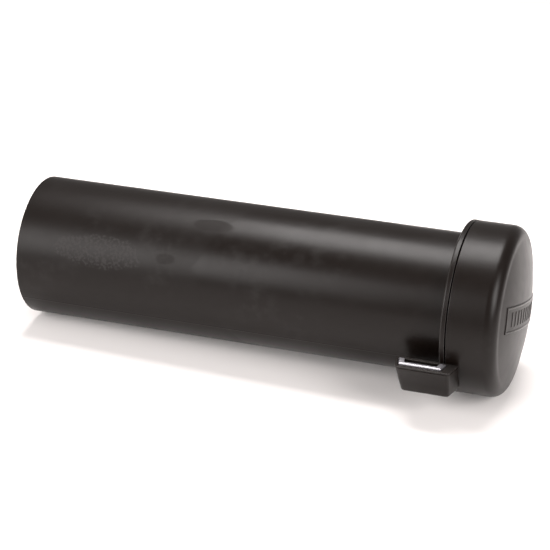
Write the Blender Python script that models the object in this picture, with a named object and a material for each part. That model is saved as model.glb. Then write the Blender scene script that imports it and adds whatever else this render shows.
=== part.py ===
"""Fire blanket in a tubular canister, lying on its side.

Units are metres and +Z is up. The canister's axis runs along X, from the closed end to the cap. Every piece
is modelled about that axis, with x = 0 on the closed end's face, and hangs from one of three empties: the
canister, the cap that pulls off it, and the rolled blanket that draws out of it.
"""

import math

import bmesh
import bpy
from mathutils import Matrix, Vector

# Roundness: a flat of each turned shape faces straight down, so that the canister lies still.
ROUND_STEPS = 48
SMALL_STEPS = 16
CORD_STEPS = 8
FILLET_STEPS = 5
DOME_STEPS = 4

# Clearances
SEAT = 0.0003  # between pieces that touch
SLIDE = 0.0005  # between a sliding piece and its bore
SEAM = 0.0006  # shadow line between the collar and the cap

# Tube and collar
TUBE_RADIUS = 0.0400
TUBE_WALL = 0.0030
TUBE_LENGTH = 0.2550
EDGE_CHAMFER = 0.0008
COLLAR_STEP = 0.0080  # how far the collar stands out from the tube
COLLAR_WIDTH = 0.0030
COLLAR_PAST_TUBE = 0.0014  # how far the collar stands past the tube's end, round the gasket

# Closed end
BASE_FACE = 0.0030
BASE_SKIRT = 0.0100
BASE_WALL = 0.0030

# Cap cover
CAP_UNDER_COLLAR = 0.0001  # how much smaller the cap's radius is than the collar's
CAP_DEPTH = 0.0272  # from the seam to the edge of the end face
CAP_FILLET = 0.0073
CAP_WALL = 0.0030
DOME_HEIGHT = 0.0059

# Plug inside the tube's mouth
PLUG_DEPTH = 0.0150
PLUG_WALL = 0.0035
PLUG_PLATE = 0.0020
GROOVE_WIDTH = 0.0020
GROOVE_DEPTH = 0.0016
GROOVE_FROM_PLATE = 0.0060

# Screws that hold the plug to the cap cover
SCREW_COUNT = 3
SCREW_FROM_SPIGOT = 0.0090  # from the spigot's inner wall to a screw's middle
SCREW_RADIUS = 0.0013
SCREW_REACH = 0.0103
HEAD_RADIUS = 0.0027
HEAD_HEIGHT = 0.0018
BOSS_RADIUS = 0.0040

# Foam pads
CAP_PAD_THICKNESS = 0.0076

# Panel let into the end face
PANEL_LENGTH = 0.0670
PANEL_HEIGHT = 0.0148
PANEL_THICKNESS = 0.0012
PANEL_PROUD = 0.0002
PANEL_TURN = math.radians(-17)

# Bracket pocket on the cap's side
POCKET_RIM_BELOW_AXIS = 0.0132
POCKET_HEIGHT = 0.0188
POCKET_FRONT = 0.0296  # length of the front of the rim
POCKET_PAST_SEAM = 0.0049  # how far the front of the rim runs onto the cap
POCKET_LEAN = math.radians(23)
POCKET_DRAFT = math.radians(5)
POCKET_FLARE = math.radians(12.5)
POCKET_WALL = 0.0022
POCKET_BACK_WALL = 0.0019
POCKET_END_WALL = 0.0032
POCKET_ROUNDING = 0.0012
SLOT_WIDTH = 0.0074
SLOT_OFF_MIDDLE = 0.0020  # how far the slot's middle lies towards the closed end

# Steel liner in the pocket's mouth
LINER_SHEET = 0.0008
LINER_DEPTH = 0.0110
LINER_PROUD = 0.0008
FRONT_LIP = 0.0026
SIDE_LIP = 0.0035

# Blanket and tapes
STOW_SPACE = 0.0315  # between the roll's end and the plug, for the tapes
ROLL_CORE_RADIUS = 0.0060
TAPE_WIDTH = 0.0250
TAPE_CLEAR = 0.0010  # from the folded tape's corners to the roll's edge
TAPE_STACK = 0.0100
TAPE_APART = 0.0030
TAB_LENGTH = 0.0240
TAB_WIDTH = 0.0200
TAB_THICKNESS = 0.0030
FOLD_SOFTNESS = 1 / 6  # rounding of a folded edge, as a share of the thickness

# Places along the axis that follow from the sizes above
BORE = TUBE_RADIUS - TUBE_WALL
COLLAR_RADIUS = TUBE_RADIUS + COLLAR_STEP
SEAM_X = TUBE_LENGTH + COLLAR_PAST_TUBE
CAP_RIM_X = SEAM_X + SEAM
CAP_RADIUS = COLLAR_RADIUS - CAP_UNDER_COLLAR
FACE_EDGE_X = CAP_RIM_X + CAP_DEPTH
DOME_EDGE = CAP_RADIUS - CAP_FILLET
DOME_RADIUS = (DOME_EDGE**2 + DOME_HEIGHT**2) / (2 * DOME_HEIGHT)
TOTAL_LENGTH = FACE_EDGE_X + DOME_HEIGHT
PLUG_RADIUS = BORE - SLIDE
PLUG_BORE = PLUG_RADIUS - PLUG_WALL
SCREW_CIRCLE = PLUG_BORE - SCREW_FROM_SPIGOT
PLUG_END_X = CAP_RIM_X - PLUG_DEPTH
PLATE_BACK_X = CAP_RIM_X + PLUG_PLATE
GROOVE_FLOOR = PLUG_RADIUS - GROOVE_DEPTH
GROOVE_X = CAP_RIM_X - GROOVE_FROM_PLATE
ROLL_X = BASE_SKIRT + SLIDE
ROLL_END_X = PLUG_END_X - STOW_SPACE
ROLL_RADIUS = BORE - SLIDE
TAPE_HALF_FOLD = math.sqrt((ROLL_RADIUS - TAPE_CLEAR) ** 2 - (TAPE_WIDTH + TAPE_APART / 2) ** 2)
POCKET_RIM_Z = -POCKET_RIM_BELOW_AXIS
POCKET_MIDDLE_X = CAP_RIM_X + POCKET_PAST_SEAM - POCKET_FRONT / 2
POCKET_BACK_RADIUS = COLLAR_RADIUS + SEAT
POCKET_BACK_Y = -math.sqrt(POCKET_BACK_RADIUS**2 - POCKET_RIM_BELOW_AXIS**2)
POCKET_FRONT_Y = POCKET_BACK_Y - POCKET_BACK_WALL - SLOT_WIDTH - POCKET_WALL

# Where the canister's axis stands over the origin, which is under the middle of the whole object
FLAT_SHARE = math.cos(math.pi / ROUND_STEPS)
AXIS_PLACE = Vector(
    (
        -(TOTAL_LENGTH + PANEL_PROUD) / 2,
        -(POCKET_FRONT_Y + COLLAR_RADIUS * FLAT_SHARE) / 2,
        COLLAR_RADIUS * FLAT_SHARE,
    )
)

# Colour, roughness and metallic value of each material
MATERIALS = {
    "black_moulding": ((0.022, 0.020, 0.019), 0.42, 0.0),
    "panel_moulding": ((0.026, 0.024, 0.023), 0.38, 0.0),
    "black_rubber": ((0.012, 0.012, 0.012), 0.70, 0.0),
    "bright_steel": ((0.72, 0.72, 0.72), 0.22, 1.0),
    "zinc_screw": ((0.56, 0.56, 0.55), 0.35, 1.0),
    "grey_foam": ((0.16, 0.16, 0.16), 0.95, 0.0),
    "glass_cloth": ((0.72, 0.70, 0.64), 0.85, 0.0),
    "black_webbing": ((0.020, 0.020, 0.021), 0.85, 0.0),
    "red_tab": ((0.48, 0.025, 0.020), 0.45, 0.0),
}


def clear_scene():
    """Remove every object of the open scene."""
    for obj in list(bpy.data.objects):
        bpy.data.objects.remove(obj, do_unlink=True)


def material(name):
    """Return the named material, made on first use."""
    if name in bpy.data.materials:
        return bpy.data.materials[name]
    colour, roughness, metallic = MATERIALS[name]
    made = bpy.data.materials.new(name)
    made.use_nodes = True
    shader = made.node_tree.nodes["Principled BSDF"]
    shader.inputs["Base Color"].default_value = (*colour, 1.0)
    shader.inputs["Roughness"].default_value = roughness
    shader.inputs["Metallic"].default_value = metallic
    return made


def axis_empty(name, place=None, parent=None):
    """Return an empty on the canister's axis, which the pieces of one body hang from."""
    empty = bpy.data.objects.new(name, None)
    bpy.context.scene.collection.objects.link(empty)
    empty.empty_display_size = 0.03
    empty.parent = parent
    if place is not None:
        empty.location = place
    return empty


def new_object(name, shape, parent, finish=None):
    """Turn a bmesh into a named object under parent. Without a finish it is a helper that isn't rendered."""
    bmesh.ops.remove_doubles(shape, verts=shape.verts, dist=1e-6)
    bmesh.ops.recalc_face_normals(shape, faces=shape.faces)
    mesh = bpy.data.meshes.new(name)
    shape.to_mesh(mesh)
    shape.free()
    mesh.shade_smooth()
    mesh.set_sharp_from_angle(angle=math.radians(30))
    obj = bpy.data.objects.new(name, mesh)
    bpy.context.scene.collection.objects.link(obj)
    obj.parent = parent
    if finish is None:
        obj.hide_render = True
        obj.display_type = "WIRE"
    else:
        mesh.materials.append(material(finish))
    return obj


def combine(obj, other, operation="DIFFERENCE"):
    """Add an exact Boolean with a helper object."""
    modifier = obj.modifiers.new(f"{operation.lower()}_{other.name}", "BOOLEAN")
    modifier.operation = operation
    modifier.solver = "EXACT"
    modifier.object = other


def turned(outline, centre=(0.0, 0.0), steps=ROUND_STEPS):
    """Turn an (x, radius) outline about the line along X through centre (y, z).

    An outline that starts off the axis is closed into a ring; one that starts on it also ends on it.
    """
    shape = bmesh.new()
    start = math.pi / steps
    points = [
        shape.verts.new(
            (x, centre[0] - radius * math.sin(start), centre[1] - radius * math.cos(start))
        )
        for x, radius in outline
    ]
    pairs = list(zip(points, points[1:]))
    if outline[0][1] > 0:
        pairs.append((points[-1], points[0]))
    edges = [shape.edges.new(pair) for pair in pairs]
    bmesh.ops.spin(
        shape,
        geom=points + edges,
        cent=(0.0, *centre),
        axis=(1.0, 0.0, 0.0),
        angle=2 * math.pi,
        steps=steps,
        use_merge=True,
        use_duplicate=False,
    )
    return shape


def lofted(lower, upper):
    """Join two outlines that have as many points each into one closed solid."""
    shape = bmesh.new()
    low = [shape.verts.new(point) for point in lower]
    high = [shape.verts.new(point) for point in upper]
    shape.faces.new(low[::-1])
    shape.faces.new(high)
    for i in range(len(low)):
        j = (i + 1) % len(low)
        shape.faces.new((low[i], low[j], high[j], high[i]))
    return shape


def block(low, high):
    """Return a box between two corners."""
    size = [b - a for a, b in zip(low, high)]
    middle = [(a + b) / 2 for a, b in zip(low, high)]
    shape = bmesh.new()
    place = Matrix.Translation(middle) @ Matrix.Diagonal((*size, 1.0))
    bmesh.ops.create_cube(shape, size=1.0, matrix=place)
    return shape


def round_edges(shape, edges, rounding):
    """Bevel the edges in two steps."""
    bmesh.ops.bevel(
        shape, geom=edges, offset=rounding, segments=2, profile=0.5, affect="EDGES", clamp_overlap=True
    )


def soft_block(low, high, rounding):
    """Return a box whose edges are bevelled, for something folded flat."""
    shape = block(low, high)
    round_edges(shape, list(shape.edges), rounding)
    return shape


def round_the_axis(count, radius):
    """Return (y, z) of count points spread evenly round the axis, the first straight up."""
    turns = [2 * math.pi * i / count for i in range(count)]
    return [(radius * math.sin(turn), radius * math.cos(turn)) for turn in turns]


# --- canister ---------------------------------------------------------------------------------------------


def make_tube(parent):
    """Plain tube, open at both ends."""
    outline = [
        (0.0, BORE),
        (0.0, TUBE_RADIUS - EDGE_CHAMFER),
        (EDGE_CHAMFER, TUBE_RADIUS),
        (TUBE_LENGTH, TUBE_RADIUS),
        (TUBE_LENGTH, BORE),
    ]
    new_object("tube_body", turned(outline), parent, "black_moulding")


def make_collar(parent):
    """Ring bonded round the tube's mouth. It stands past the tube's end and holds the gasket."""
    inner = TUBE_RADIUS + SEAT
    start = SEAM_X - COLLAR_WIDTH
    outline = [
        (start, inner),
        (start, COLLAR_RADIUS - EDGE_CHAMFER),
        (start + EDGE_CHAMFER, COLLAR_RADIUS),
        (SEAM_X, COLLAR_RADIUS),
        (SEAM_X, inner),
    ]
    new_object("collar_ring", turned(outline), parent, "black_moulding")


def make_gasket(parent):
    """Flat ring between the tube's end and the plug's plate."""
    inner = BORE + SLIDE
    outer = TUBE_RADIUS
    start = TUBE_LENGTH + SEAT
    end = CAP_RIM_X - SEAT
    outline = [(start, inner), (start, outer), (end, outer), (end, inner)]
    new_object("mouth_gasket", turned(outline), parent, "black_rubber")


def make_base(parent):
    """Cup pressed into the tube's far end: it closes the tube, and its face is the canister's flat end."""
    radius = BORE - SEAT
    outline = [
        (0.0, 0.0),
        (0.0, radius - EDGE_CHAMFER),
        (EDGE_CHAMFER, radius),
        (BASE_SKIRT, radius),
        (BASE_SKIRT, radius - BASE_WALL),
        (BASE_FACE, radius - BASE_WALL),
        (BASE_FACE, 0.0),
    ]
    new_object("base_plug", turned(outline), parent, "black_moulding")


def make_base_pad(parent):
    """Foam disc in the base, which the roll's end rests on."""
    radius = BORE - BASE_WALL - 2 * SEAT
    start = BASE_FACE + SEAT
    end = ROLL_X - SEAT
    outline = [(start, 0.0), (start, radius), (end, radius), (end, 0.0)]
    new_object("base_foam_pad", turned(outline), parent, "grey_foam")


# --- cap --------------------------------------------------------------------------------------------------


def dome_x(radius, offset=0.0):
    """Return x on the end face's dome at a distance from the axis, moved outwards by offset."""
    sphere = DOME_RADIUS + offset
    centre = TOTAL_LENGTH - DOME_RADIUS
    return centre + math.sqrt(sphere**2 - radius**2)


def dome_points(edge, offset=0.0):
    """Return (x, radius) points of the dome, from its edge to the axis."""
    radii = [edge * (1 - i / DOME_STEPS) for i in range(DOME_STEPS + 1)]
    return [(dome_x(radius, offset), radius) for radius in radii]


def fillet_points(side_radius, fillet):
    """Return (x, radius) points of the corner between the cap's side and its end face."""
    centre_x = FACE_EDGE_X - CAP_FILLET
    centre_r = CAP_RADIUS - CAP_FILLET
    turns = [math.pi / 2 * i / FILLET_STEPS for i in range(FILLET_STEPS)]
    points = [(centre_x + fillet * math.sin(turn), centre_r + fillet * math.cos(turn)) for turn in turns]
    points[0] = (centre_x, side_radius)
    return points


def panel_slab(name, parent, margin, low, high, finish=None):
    """Return the panel's outline as a slab that follows the dome, from low to high off its surface."""
    length = PANEL_LENGTH / 2 + margin
    height = PANEL_HEIGHT / 2 + margin
    bar = block((FACE_EDGE_X - CAP_FILLET, -length, -height), (TOTAL_LENGTH + CAP_FILLET, length, height))
    bmesh.ops.rotate(bar, verts=bar.verts, cent=(0.0, 0.0, 0.0), matrix=Matrix.Rotation(PANEL_TURN, 3, "X"))
    slab = new_object(name, bar, parent, finish)
    outline = dome_points(DOME_EDGE, low)[::-1] + dome_points(DOME_EDGE, high)
    shell = new_object(f"{name}_shell", turned(outline), parent)
    combine(slab, shell, "INTERSECT")
    return slab


def make_cap_cover(parent):
    """Domed outer shell with three screw bosses inside and a shallow recess for the panel."""
    inner = CAP_RADIUS - CAP_WALL
    outside = [(CAP_RIM_X, CAP_RADIUS)] + fillet_points(CAP_RADIUS, CAP_FILLET) + dome_points(DOME_EDGE)
    inside = [(CAP_RIM_X, inner)] + fillet_points(inner, CAP_FILLET - CAP_WALL)
    inside += dome_points(DOME_EDGE, -CAP_WALL)
    cover = new_object("cap_cover", turned(inside[::-1] + outside), parent, "black_moulding")
    for number, centre in enumerate(round_the_axis(SCREW_COUNT, SCREW_CIRCLE), 1):
        start_x = PLATE_BACK_X + SEAT
        end_x = dome_x(SCREW_CIRCLE) - CAP_WALL / 2
        post = [(start_x, 0.0), (start_x, BOSS_RADIUS), (end_x, BOSS_RADIUS), (end_x, 0.0)]
        boss = new_object(f"boss_{number}", turned(post, centre, SMALL_STEPS), parent)
        combine(cover, boss, "UNION")
        hole = new_object(f"boss_hole_{number}", screw_hole(centre), parent)
        combine(cover, hole)
    recess = panel_slab("panel_recess", parent, SEAT, PANEL_PROUD - PANEL_THICKNESS - SEAT, CAP_WALL)
    combine(cover, recess)


def screw_hole(centre):
    """Return the clearance hole that a plug screw passes through."""
    radius = SCREW_RADIUS + SEAT
    start = CAP_RIM_X - PLUG_PLATE
    end = CAP_RIM_X + SCREW_REACH + SEAT
    return turned([(start, 0.0), (start, radius), (end, radius), (end, 0.0)], centre, SMALL_STEPS)


def make_plug(parent):
    """Plate and spigot that fill the tube's mouth, with a groove for the O-ring."""
    plate_radius = CAP_RADIUS - CAP_WALL - SEAT
    groove_start = GROOVE_X - GROOVE_WIDTH / 2
    groove_end = GROOVE_X + GROOVE_WIDTH / 2
    outline = [
        (PLATE_BACK_X, 0.0),
        (PLATE_BACK_X, plate_radius),
        (CAP_RIM_X, plate_radius),
        (CAP_RIM_X, PLUG_RADIUS),
        (groove_end, PLUG_RADIUS),
        (groove_end, GROOVE_FLOOR),
        (groove_start, GROOVE_FLOOR),
        (groove_start, PLUG_RADIUS),
        (PLUG_END_X + EDGE_CHAMFER, PLUG_RADIUS),
        (PLUG_END_X, PLUG_RADIUS - EDGE_CHAMFER),
        (PLUG_END_X, PLUG_BORE),
        (CAP_RIM_X, PLUG_BORE),
        (CAP_RIM_X, 0.0),
    ]
    plug = new_object("plug_insert", turned(outline), parent, "black_moulding")
    for number, centre in enumerate(round_the_axis(SCREW_COUNT, SCREW_CIRCLE), 1):
        combine(plug, new_object(f"plate_hole_{number}", screw_hole(centre), parent))


def make_o_ring(parent):
    """O-ring in the plug's groove, clear of its floor and of the tube's bore."""
    middle = (GROOVE_FLOOR + BORE) / 2
    cord = (BORE - GROOVE_FLOOR) / 2 - SEAT
    turns = [2 * math.pi * i / CORD_STEPS for i in range(CORD_STEPS)]
    outline = [(GROOVE_X + cord * math.cos(turn), middle + cord * math.sin(turn)) for turn in turns]
    new_object("plug_o_ring", turned(outline), parent, "black_rubber")


def make_plug_screws(parent):
    """Self-tapping screws, driven from inside the spigot into the cover's bosses."""
    under_head = CAP_RIM_X - SEAT
    head_top = under_head - HEAD_HEIGHT
    tip = CAP_RIM_X + SCREW_REACH
    outline = [
        (head_top, 0.0),
        (head_top, HEAD_RADIUS - EDGE_CHAMFER),
        (head_top + EDGE_CHAMFER, HEAD_RADIUS),
        (under_head, HEAD_RADIUS),
        (under_head, SCREW_RADIUS),
        (tip - SCREW_RADIUS, SCREW_RADIUS),
        (tip, 0.0),
    ]
    for number, centre in enumerate(round_the_axis(SCREW_COUNT, SCREW_CIRCLE), 1):
        new_object(f"plug_screw_{number}", turned(outline, centre, SMALL_STEPS), parent, "zinc_screw")


def make_cap_pad(parent):
    """Foam disc pushed into the spigot, over the screw heads."""
    radius = PLUG_BORE - SEAT
    end = CAP_RIM_X - HEAD_HEIGHT - 2 * SEAT
    start = end - CAP_PAD_THICKNESS
    outline = [(start, 0.0), (start, radius), (end, radius), (end, 0.0)]
    new_object("cap_foam_pad", turned(outline), parent, "grey_foam")


def make_panel(parent):
    """Plain panel let into the end face."""
    panel_slab("end_panel", parent, 0.0, PANEL_PROUD - PANEL_THICKNESS, PANEL_PROUD, "panel_moulding")


# --- bracket pocket ---------------------------------------------------------------------------------------


def pocket_ring(depth, inset, front_y, back_y):
    """Return the pocket's four corners at a depth below its rim.

    The ends draw together with depth and spread towards the canister. Whatever lies inside the walls, at an
    inset from them, is centred on the slot.
    """
    middle_x = POCKET_MIDDLE_X
    end_inset = 0.0
    if inset > 0:
        middle_x -= SLOT_OFF_MIDDLE
        end_inset = inset + POCKET_END_WALL - POCKET_WALL
    corners = []
    for y, side in ((front_y, -1), (front_y, 1), (back_y, 1), (back_y, -1)):
        behind = y - front_of_pocket(depth)
        half = POCKET_FRONT / 2 - depth * math.tan(POCKET_DRAFT) + behind * math.tan(POCKET_FLARE)
        corners.append((middle_x + side * (half - end_inset), y, POCKET_RIM_Z - depth))
    return corners


def front_of_pocket(depth):
    """Return y of the pocket's leaning front at a depth below its rim."""
    return POCKET_FRONT_Y + depth * math.tan(POCKET_LEAN)


def pocket_solid(top_depth, bottom_depth, inset, width=None):
    """Return a solid that follows the pocket's front and ends.

    With a width its back leans as the front does; without one it runs back inside the drum that trims it.
    """
    rings = []
    for depth in (bottom_depth, top_depth):
        front_y = front_of_pocket(depth) + inset
        back_y = -POCKET_BACK_RADIUS / 2 if width is None else front_y + width
        rings.append(pocket_ring(depth, inset, front_y, back_y))
    return lofted(rings[0], rings[1])


def make_pocket(parent):
    """Open-topped pocket welded to the cap's side. It overhangs the collar and the tube, clear of both."""
    body = pocket_solid(0.0, POCKET_HEIGHT, 0.0)
    rim_z = POCKET_RIM_Z - SEAT
    outer_edges = [edge for edge in body.edges if min(vert.co.z for vert in edge.verts) < rim_z]
    round_edges(body, outer_edges, POCKET_ROUNDING)
    pocket = new_object("bracket_pocket", body, parent, "black_moulding")
    ends = (POCKET_MIDDLE_X - POCKET_FRONT, POCKET_MIDDLE_X + POCKET_FRONT)
    drum = [(ends[0], 0.0), (ends[0], POCKET_BACK_RADIUS), (ends[1], POCKET_BACK_RADIUS), (ends[1], 0.0)]
    combine(pocket, new_object("pocket_back_drum", turned(drum), parent))
    slot = pocket_solid(-POCKET_WALL, POCKET_HEIGHT - POCKET_WALL, POCKET_WALL, SLOT_WIDTH)
    combine(pocket, new_object("pocket_slot", slot, parent))


def make_liner(parent):
    """Pressed steel liner: a U in plan, open towards the canister, with a lip turned in round the mouth."""
    outer = POCKET_WALL + SEAT
    inner = outer + LINER_SHEET
    width = SLOT_WIDTH - 2 * SEAT
    sheet = pocket_solid(-LINER_PROUD, LINER_DEPTH, outer, width)
    liner = new_object("pocket_liner", sheet, parent, "bright_steel")
    under_lip = LINER_SHEET - LINER_PROUD
    hollow = pocket_solid(under_lip, LINER_DEPTH + POCKET_WALL, inner, width)
    combine(liner, new_object("liner_hollow", hollow, parent))
    front_y = POCKET_FRONT_Y + outer + FRONT_LIP
    back_y = front_y + width
    depths = (under_lip + LINER_SHEET, -POCKET_WALL)
    rings = [pocket_ring(depth, outer + SIDE_LIP, front_y, back_y) for depth in depths]
    combine(liner, new_object("liner_mouth", lofted(rings[0], rings[1]), parent))


# --- blanket ----------------------------------------------------------------------------------------------


def make_roll(parent):
    """Outer shape of the rolled blanket, with its open core."""
    outline = [
        (ROLL_X, ROLL_CORE_RADIUS),
        (ROLL_X, ROLL_RADIUS),
        (ROLL_END_X, ROLL_RADIUS),
        (ROLL_END_X, ROLL_CORE_RADIUS),
    ]
    new_object("blanket_roll", turned(outline), parent, "glass_cloth")


def make_tapes(parent):
    """Two pull tapes folded flat on the roll's end, one above the other, each under its tab."""
    middle_z = (TAPE_WIDTH + TAPE_APART) / 2
    tape_x = ROLL_END_X + SEAT
    tab_x = tape_x + TAPE_STACK + SEAT
    for number, z in enumerate((middle_z, -middle_z), 1):
        tape = soft_block(
            (tape_x, -TAPE_HALF_FOLD, z - TAPE_WIDTH / 2),
            (tape_x + TAPE_STACK, TAPE_HALF_FOLD, z + TAPE_WIDTH / 2),
            TAPE_STACK * FOLD_SOFTNESS,
        )
        new_object(f"pull_tape_{number}", tape, parent, "black_webbing")
        tab = soft_block(
            (tab_x, -TAB_LENGTH / 2, z - TAB_WIDTH / 2),
            (tab_x + TAB_THICKNESS, TAB_LENGTH / 2, z + TAB_WIDTH / 2),
            TAB_THICKNESS * FOLD_SOFTNESS,
        )
        new_object(f"pull_tab_{number}", tab, parent, "red_tab")


def main():
    clear_scene()
    canister = axis_empty("canister_axis", AXIS_PLACE)
    make_tube(canister)
    make_collar(canister)
    make_gasket(canister)
    make_base(canister)
    make_base_pad(canister)
    cap = axis_empty("cap_axis", parent=canister)
    make_cap_cover(cap)
    make_plug(cap)
    make_o_ring(cap)
    make_plug_screws(cap)
    make_cap_pad(cap)
    make_panel(cap)
    make_pocket(cap)
    make_liner(cap)
    blanket = axis_empty("blanket_axis", parent=canister)
    make_roll(blanket)
    make_tapes(blanket)


main()
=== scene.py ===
"""Fire blanket in a round moulded canister, lying on a pale floor in soft light.

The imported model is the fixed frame. Each of its pieces is remade here at the same place and size, with the
roundings, seams and surface that a solid for physics leaves out. Metres throughout. A shape is worked out in
the canister's own coordinates: x runs along its axis from the closed end's face, and y and z are measured
from the axis. An angle round the axis starts straight down and grows towards -y.
"""

import logging
import math
from collections.abc import Callable
from dataclasses import dataclass, field
from enum import Enum

import bmesh
import bpy
import numpy as np
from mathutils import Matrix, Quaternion, Vector


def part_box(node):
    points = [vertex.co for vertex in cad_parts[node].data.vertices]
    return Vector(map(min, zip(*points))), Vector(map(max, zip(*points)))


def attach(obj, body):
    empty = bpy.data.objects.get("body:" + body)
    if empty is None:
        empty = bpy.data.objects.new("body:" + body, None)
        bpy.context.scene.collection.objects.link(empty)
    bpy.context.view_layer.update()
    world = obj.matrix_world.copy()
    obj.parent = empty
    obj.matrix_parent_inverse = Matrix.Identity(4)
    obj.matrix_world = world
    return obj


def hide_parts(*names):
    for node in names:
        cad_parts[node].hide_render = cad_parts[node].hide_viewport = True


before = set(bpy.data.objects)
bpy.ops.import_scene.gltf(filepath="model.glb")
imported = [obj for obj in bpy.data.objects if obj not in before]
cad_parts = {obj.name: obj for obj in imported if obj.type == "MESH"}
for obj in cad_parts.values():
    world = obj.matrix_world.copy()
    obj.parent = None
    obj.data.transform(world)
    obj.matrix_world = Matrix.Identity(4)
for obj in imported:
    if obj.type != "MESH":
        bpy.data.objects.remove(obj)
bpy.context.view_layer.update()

log = logging.getLogger("fire_blanket")
Array = np.ndarray
Point = tuple[float, float, float]
Colour = tuple[float, float, float]
Socket = bpy.types.NodeSocket

SURFACE_MAP = "Surface"  # the pieces' own UV map, in metres
# on moulded plastic the wear also paints the edges lighter, partly as a painted highlight
WEAR = "wear"  # per-point attribute, 1 on a convex edge that hands and shelves rub
MERGE = 1e-6  # points nearer than this are one
SHARPEST = 0.001  # a rounding of this radius or less counts as a full edge
CAD_SIDES = 48  # sides of the frame's round pieces, with a flat facing straight down
FLAT_SHARE = math.cos(math.pi / CAD_SIDES)  # how far out a flat's middle is, as a share of the radius
CREASE = math.radians(50)  # an edge that turns by more is left sharp
CUT_CREASE = math.radians(32)  # the same, on a piece that has been cut
BOX_SIGNS = np.array([(-1.0, -1.0), (1.0, -1.0), (1.0, 1.0), (-1.0, 1.0)])  # a rectangle's corners in order
SEAT = 0.0003  # gap between pieces that touch
MEETING = 0.00002  # gap between pieces that touch and show no line between them


# --- places and sizes taken from the frame ---


def axis_start() -> Array:
    """Return the point where the canister's axis meets the closed end's face."""
    low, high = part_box("tube_body")
    return np.array([low.x, (low.y + high.y) / 2, (low.z + high.z) / 2])


AXIS_START = axis_start()


def span(node: str) -> tuple[Array, Array]:
    """Return a node's lowest and highest corners in the canister's coordinates.

    Args:
        node: the CAD node's name.

    Returns:
        Two points, as arrays of three numbers.
    """
    low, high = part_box(node)
    return np.array(low) - AXIS_START, np.array(high) - AXIS_START


def ends_of(node: str) -> tuple[float, float]:
    """Return a node's lowest and highest x in the canister's coordinates."""
    low, high = span(node)
    return low[0], high[0]


def true_radius(node: str) -> float:
    """Return the radius of a round node, which its flats stand a little inside of."""
    low, high = span(node)
    return (high[2] - low[2]) / 2 / FLAT_SHARE


# --- shapes ---


def unit(vectors: Array) -> Array:
    """Return the vectors divided by their lengths."""
    return vectors / np.linalg.norm(vectors, axis=-1, keepdims=True)


def ease(low: float, high: float, value: Array) -> Array:
    """Return 3t² - 2t³, where t runs from 0 at low to 1 at high."""
    share = np.clip((value - low) / (high - low), 0.0, 1.0)
    return share * share * (3.0 - 2.0 * share)


def filleted(corners: Array, radii: Array | float, steps: int = 5, loop: bool = True) -> Array:
    """Round the corners of an outline.

    Each corner becomes an arc that touches both its sides. The arc's centre lies on the line that halves the
    corner, at the radius over the sine of half the corner's angle.

    Args:
        corners: points of two numbers, as (..., corners, 2).
        radii: the radius of each corner, or one for all.
        steps: segments of each arc.
        loop: whether the outline closes on itself. An open one keeps its two end points.

    Returns:
        The rounded outline, as (..., points, 2). A closed one ends on its first point.
    """
    corners = np.asarray(corners, float)
    radii = np.broadcast_to(np.asarray(radii, float), corners.shape[:-1])[..., None]
    back = unit(np.roll(corners, 1, -2) - corners)
    ahead = unit(np.roll(corners, -1, -2) - corners)
    half = np.arccos(np.clip((back * ahead).sum(-1, keepdims=True), -1.0, 1.0)) / 2
    centre = corners + unit(back + ahead) * radii / np.sin(half)
    first = unit(corners + back * radii / np.tan(half) - centre)[..., None, :]
    last = unit(corners + ahead * radii / np.tan(half) - centre)[..., None, :]
    turn = (math.pi - 2 * half)[..., None]
    share = np.linspace(0.0, 1.0, steps + 1)[:, None]
    arcs = (np.sin((1 - share) * turn) * first + np.sin(share * turn) * last) / np.sin(turn)
    points = centre[..., None, :] + radii[..., None] * arcs
    points = points.reshape(*corners.shape[:-2], -1, 2)
    if loop:
        return np.concatenate([points, points[..., :1, :]], -2)
    inner = points[..., steps + 1 : -(steps + 1), :]
    return np.concatenate([corners[..., :1, :], inner, corners[..., -1:, :]], -2)


def profile(rows: list[Point], steps: int = 5, loop: bool = True) -> Array:
    """Return the rounded outline of a table with a corner's x, radius and rounding in each row."""
    table = np.array(rows)
    return filleted(table[:, :2], table[:, 2], steps, loop)


def run_length(points: Array) -> Array:
    """Return the distance along a line of points, from its first."""
    return np.concatenate([[0.0], np.cumsum(np.linalg.norm(np.diff(points, axis=0), axis=1))])


def layout(rows: Array, columns: Array) -> Array:
    """Return a flat layout whose first number is the row's and whose second is the column's."""
    return np.stack(np.meshgrid(rows, columns, indexing="ij"), -1)


def raised(plan: Array, levels: Array) -> Array:
    """Return the points of a plan's outlines, each outline at its own z."""
    return np.concatenate([plan, np.broadcast_to(levels[:, None, None], (*plan.shape[:2], 1))], -1)


def closed_ends(rings: Array) -> Array:
    """Return the rings of points with a pole before the first and after the last, in the ring's middle."""
    poles = rings[[0, -1]].mean(1, keepdims=True) + 0 * rings[:1]
    return np.concatenate([poles[:1], rings, poles[1:]])


def folds(layers: int, steps: int, bend_steps: int, way: int = 1) -> tuple[Array, Array, Array]:
    """Fold a strip to and fro: straight runs joined by half circles one layer high.

    Args:
        layers: the number of runs.
        steps: points of each run.
        bend_steps: points of each half circle, its two ends among them.
        way: 1 where the first run goes forwards, or -1.

    Returns:
        Three numbers for each point: its place along the run from -1 to 1, its depth in layers from the first
        run's, and how far past the run's end it is, in layers.
    """
    runs = np.linspace(-1.0, 1.0, steps)
    bend = np.linspace(-math.pi / 2, math.pi / 2, bend_steps)[1:-1]
    parts = []
    for layer in range(layers):
        parts.append(np.stack([way * runs, layer + 0 * runs, 0 * runs]))
        if layer + 1 < layers:
            depth, outward = layer + 0.5 + 0.5 * np.sin(bend), way * 0.5 * np.cos(bend)
            parts.append(np.stack([way + 0 * bend, depth, outward]))
        way = -way
    return tuple(np.concatenate(parts, axis=1))


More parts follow.
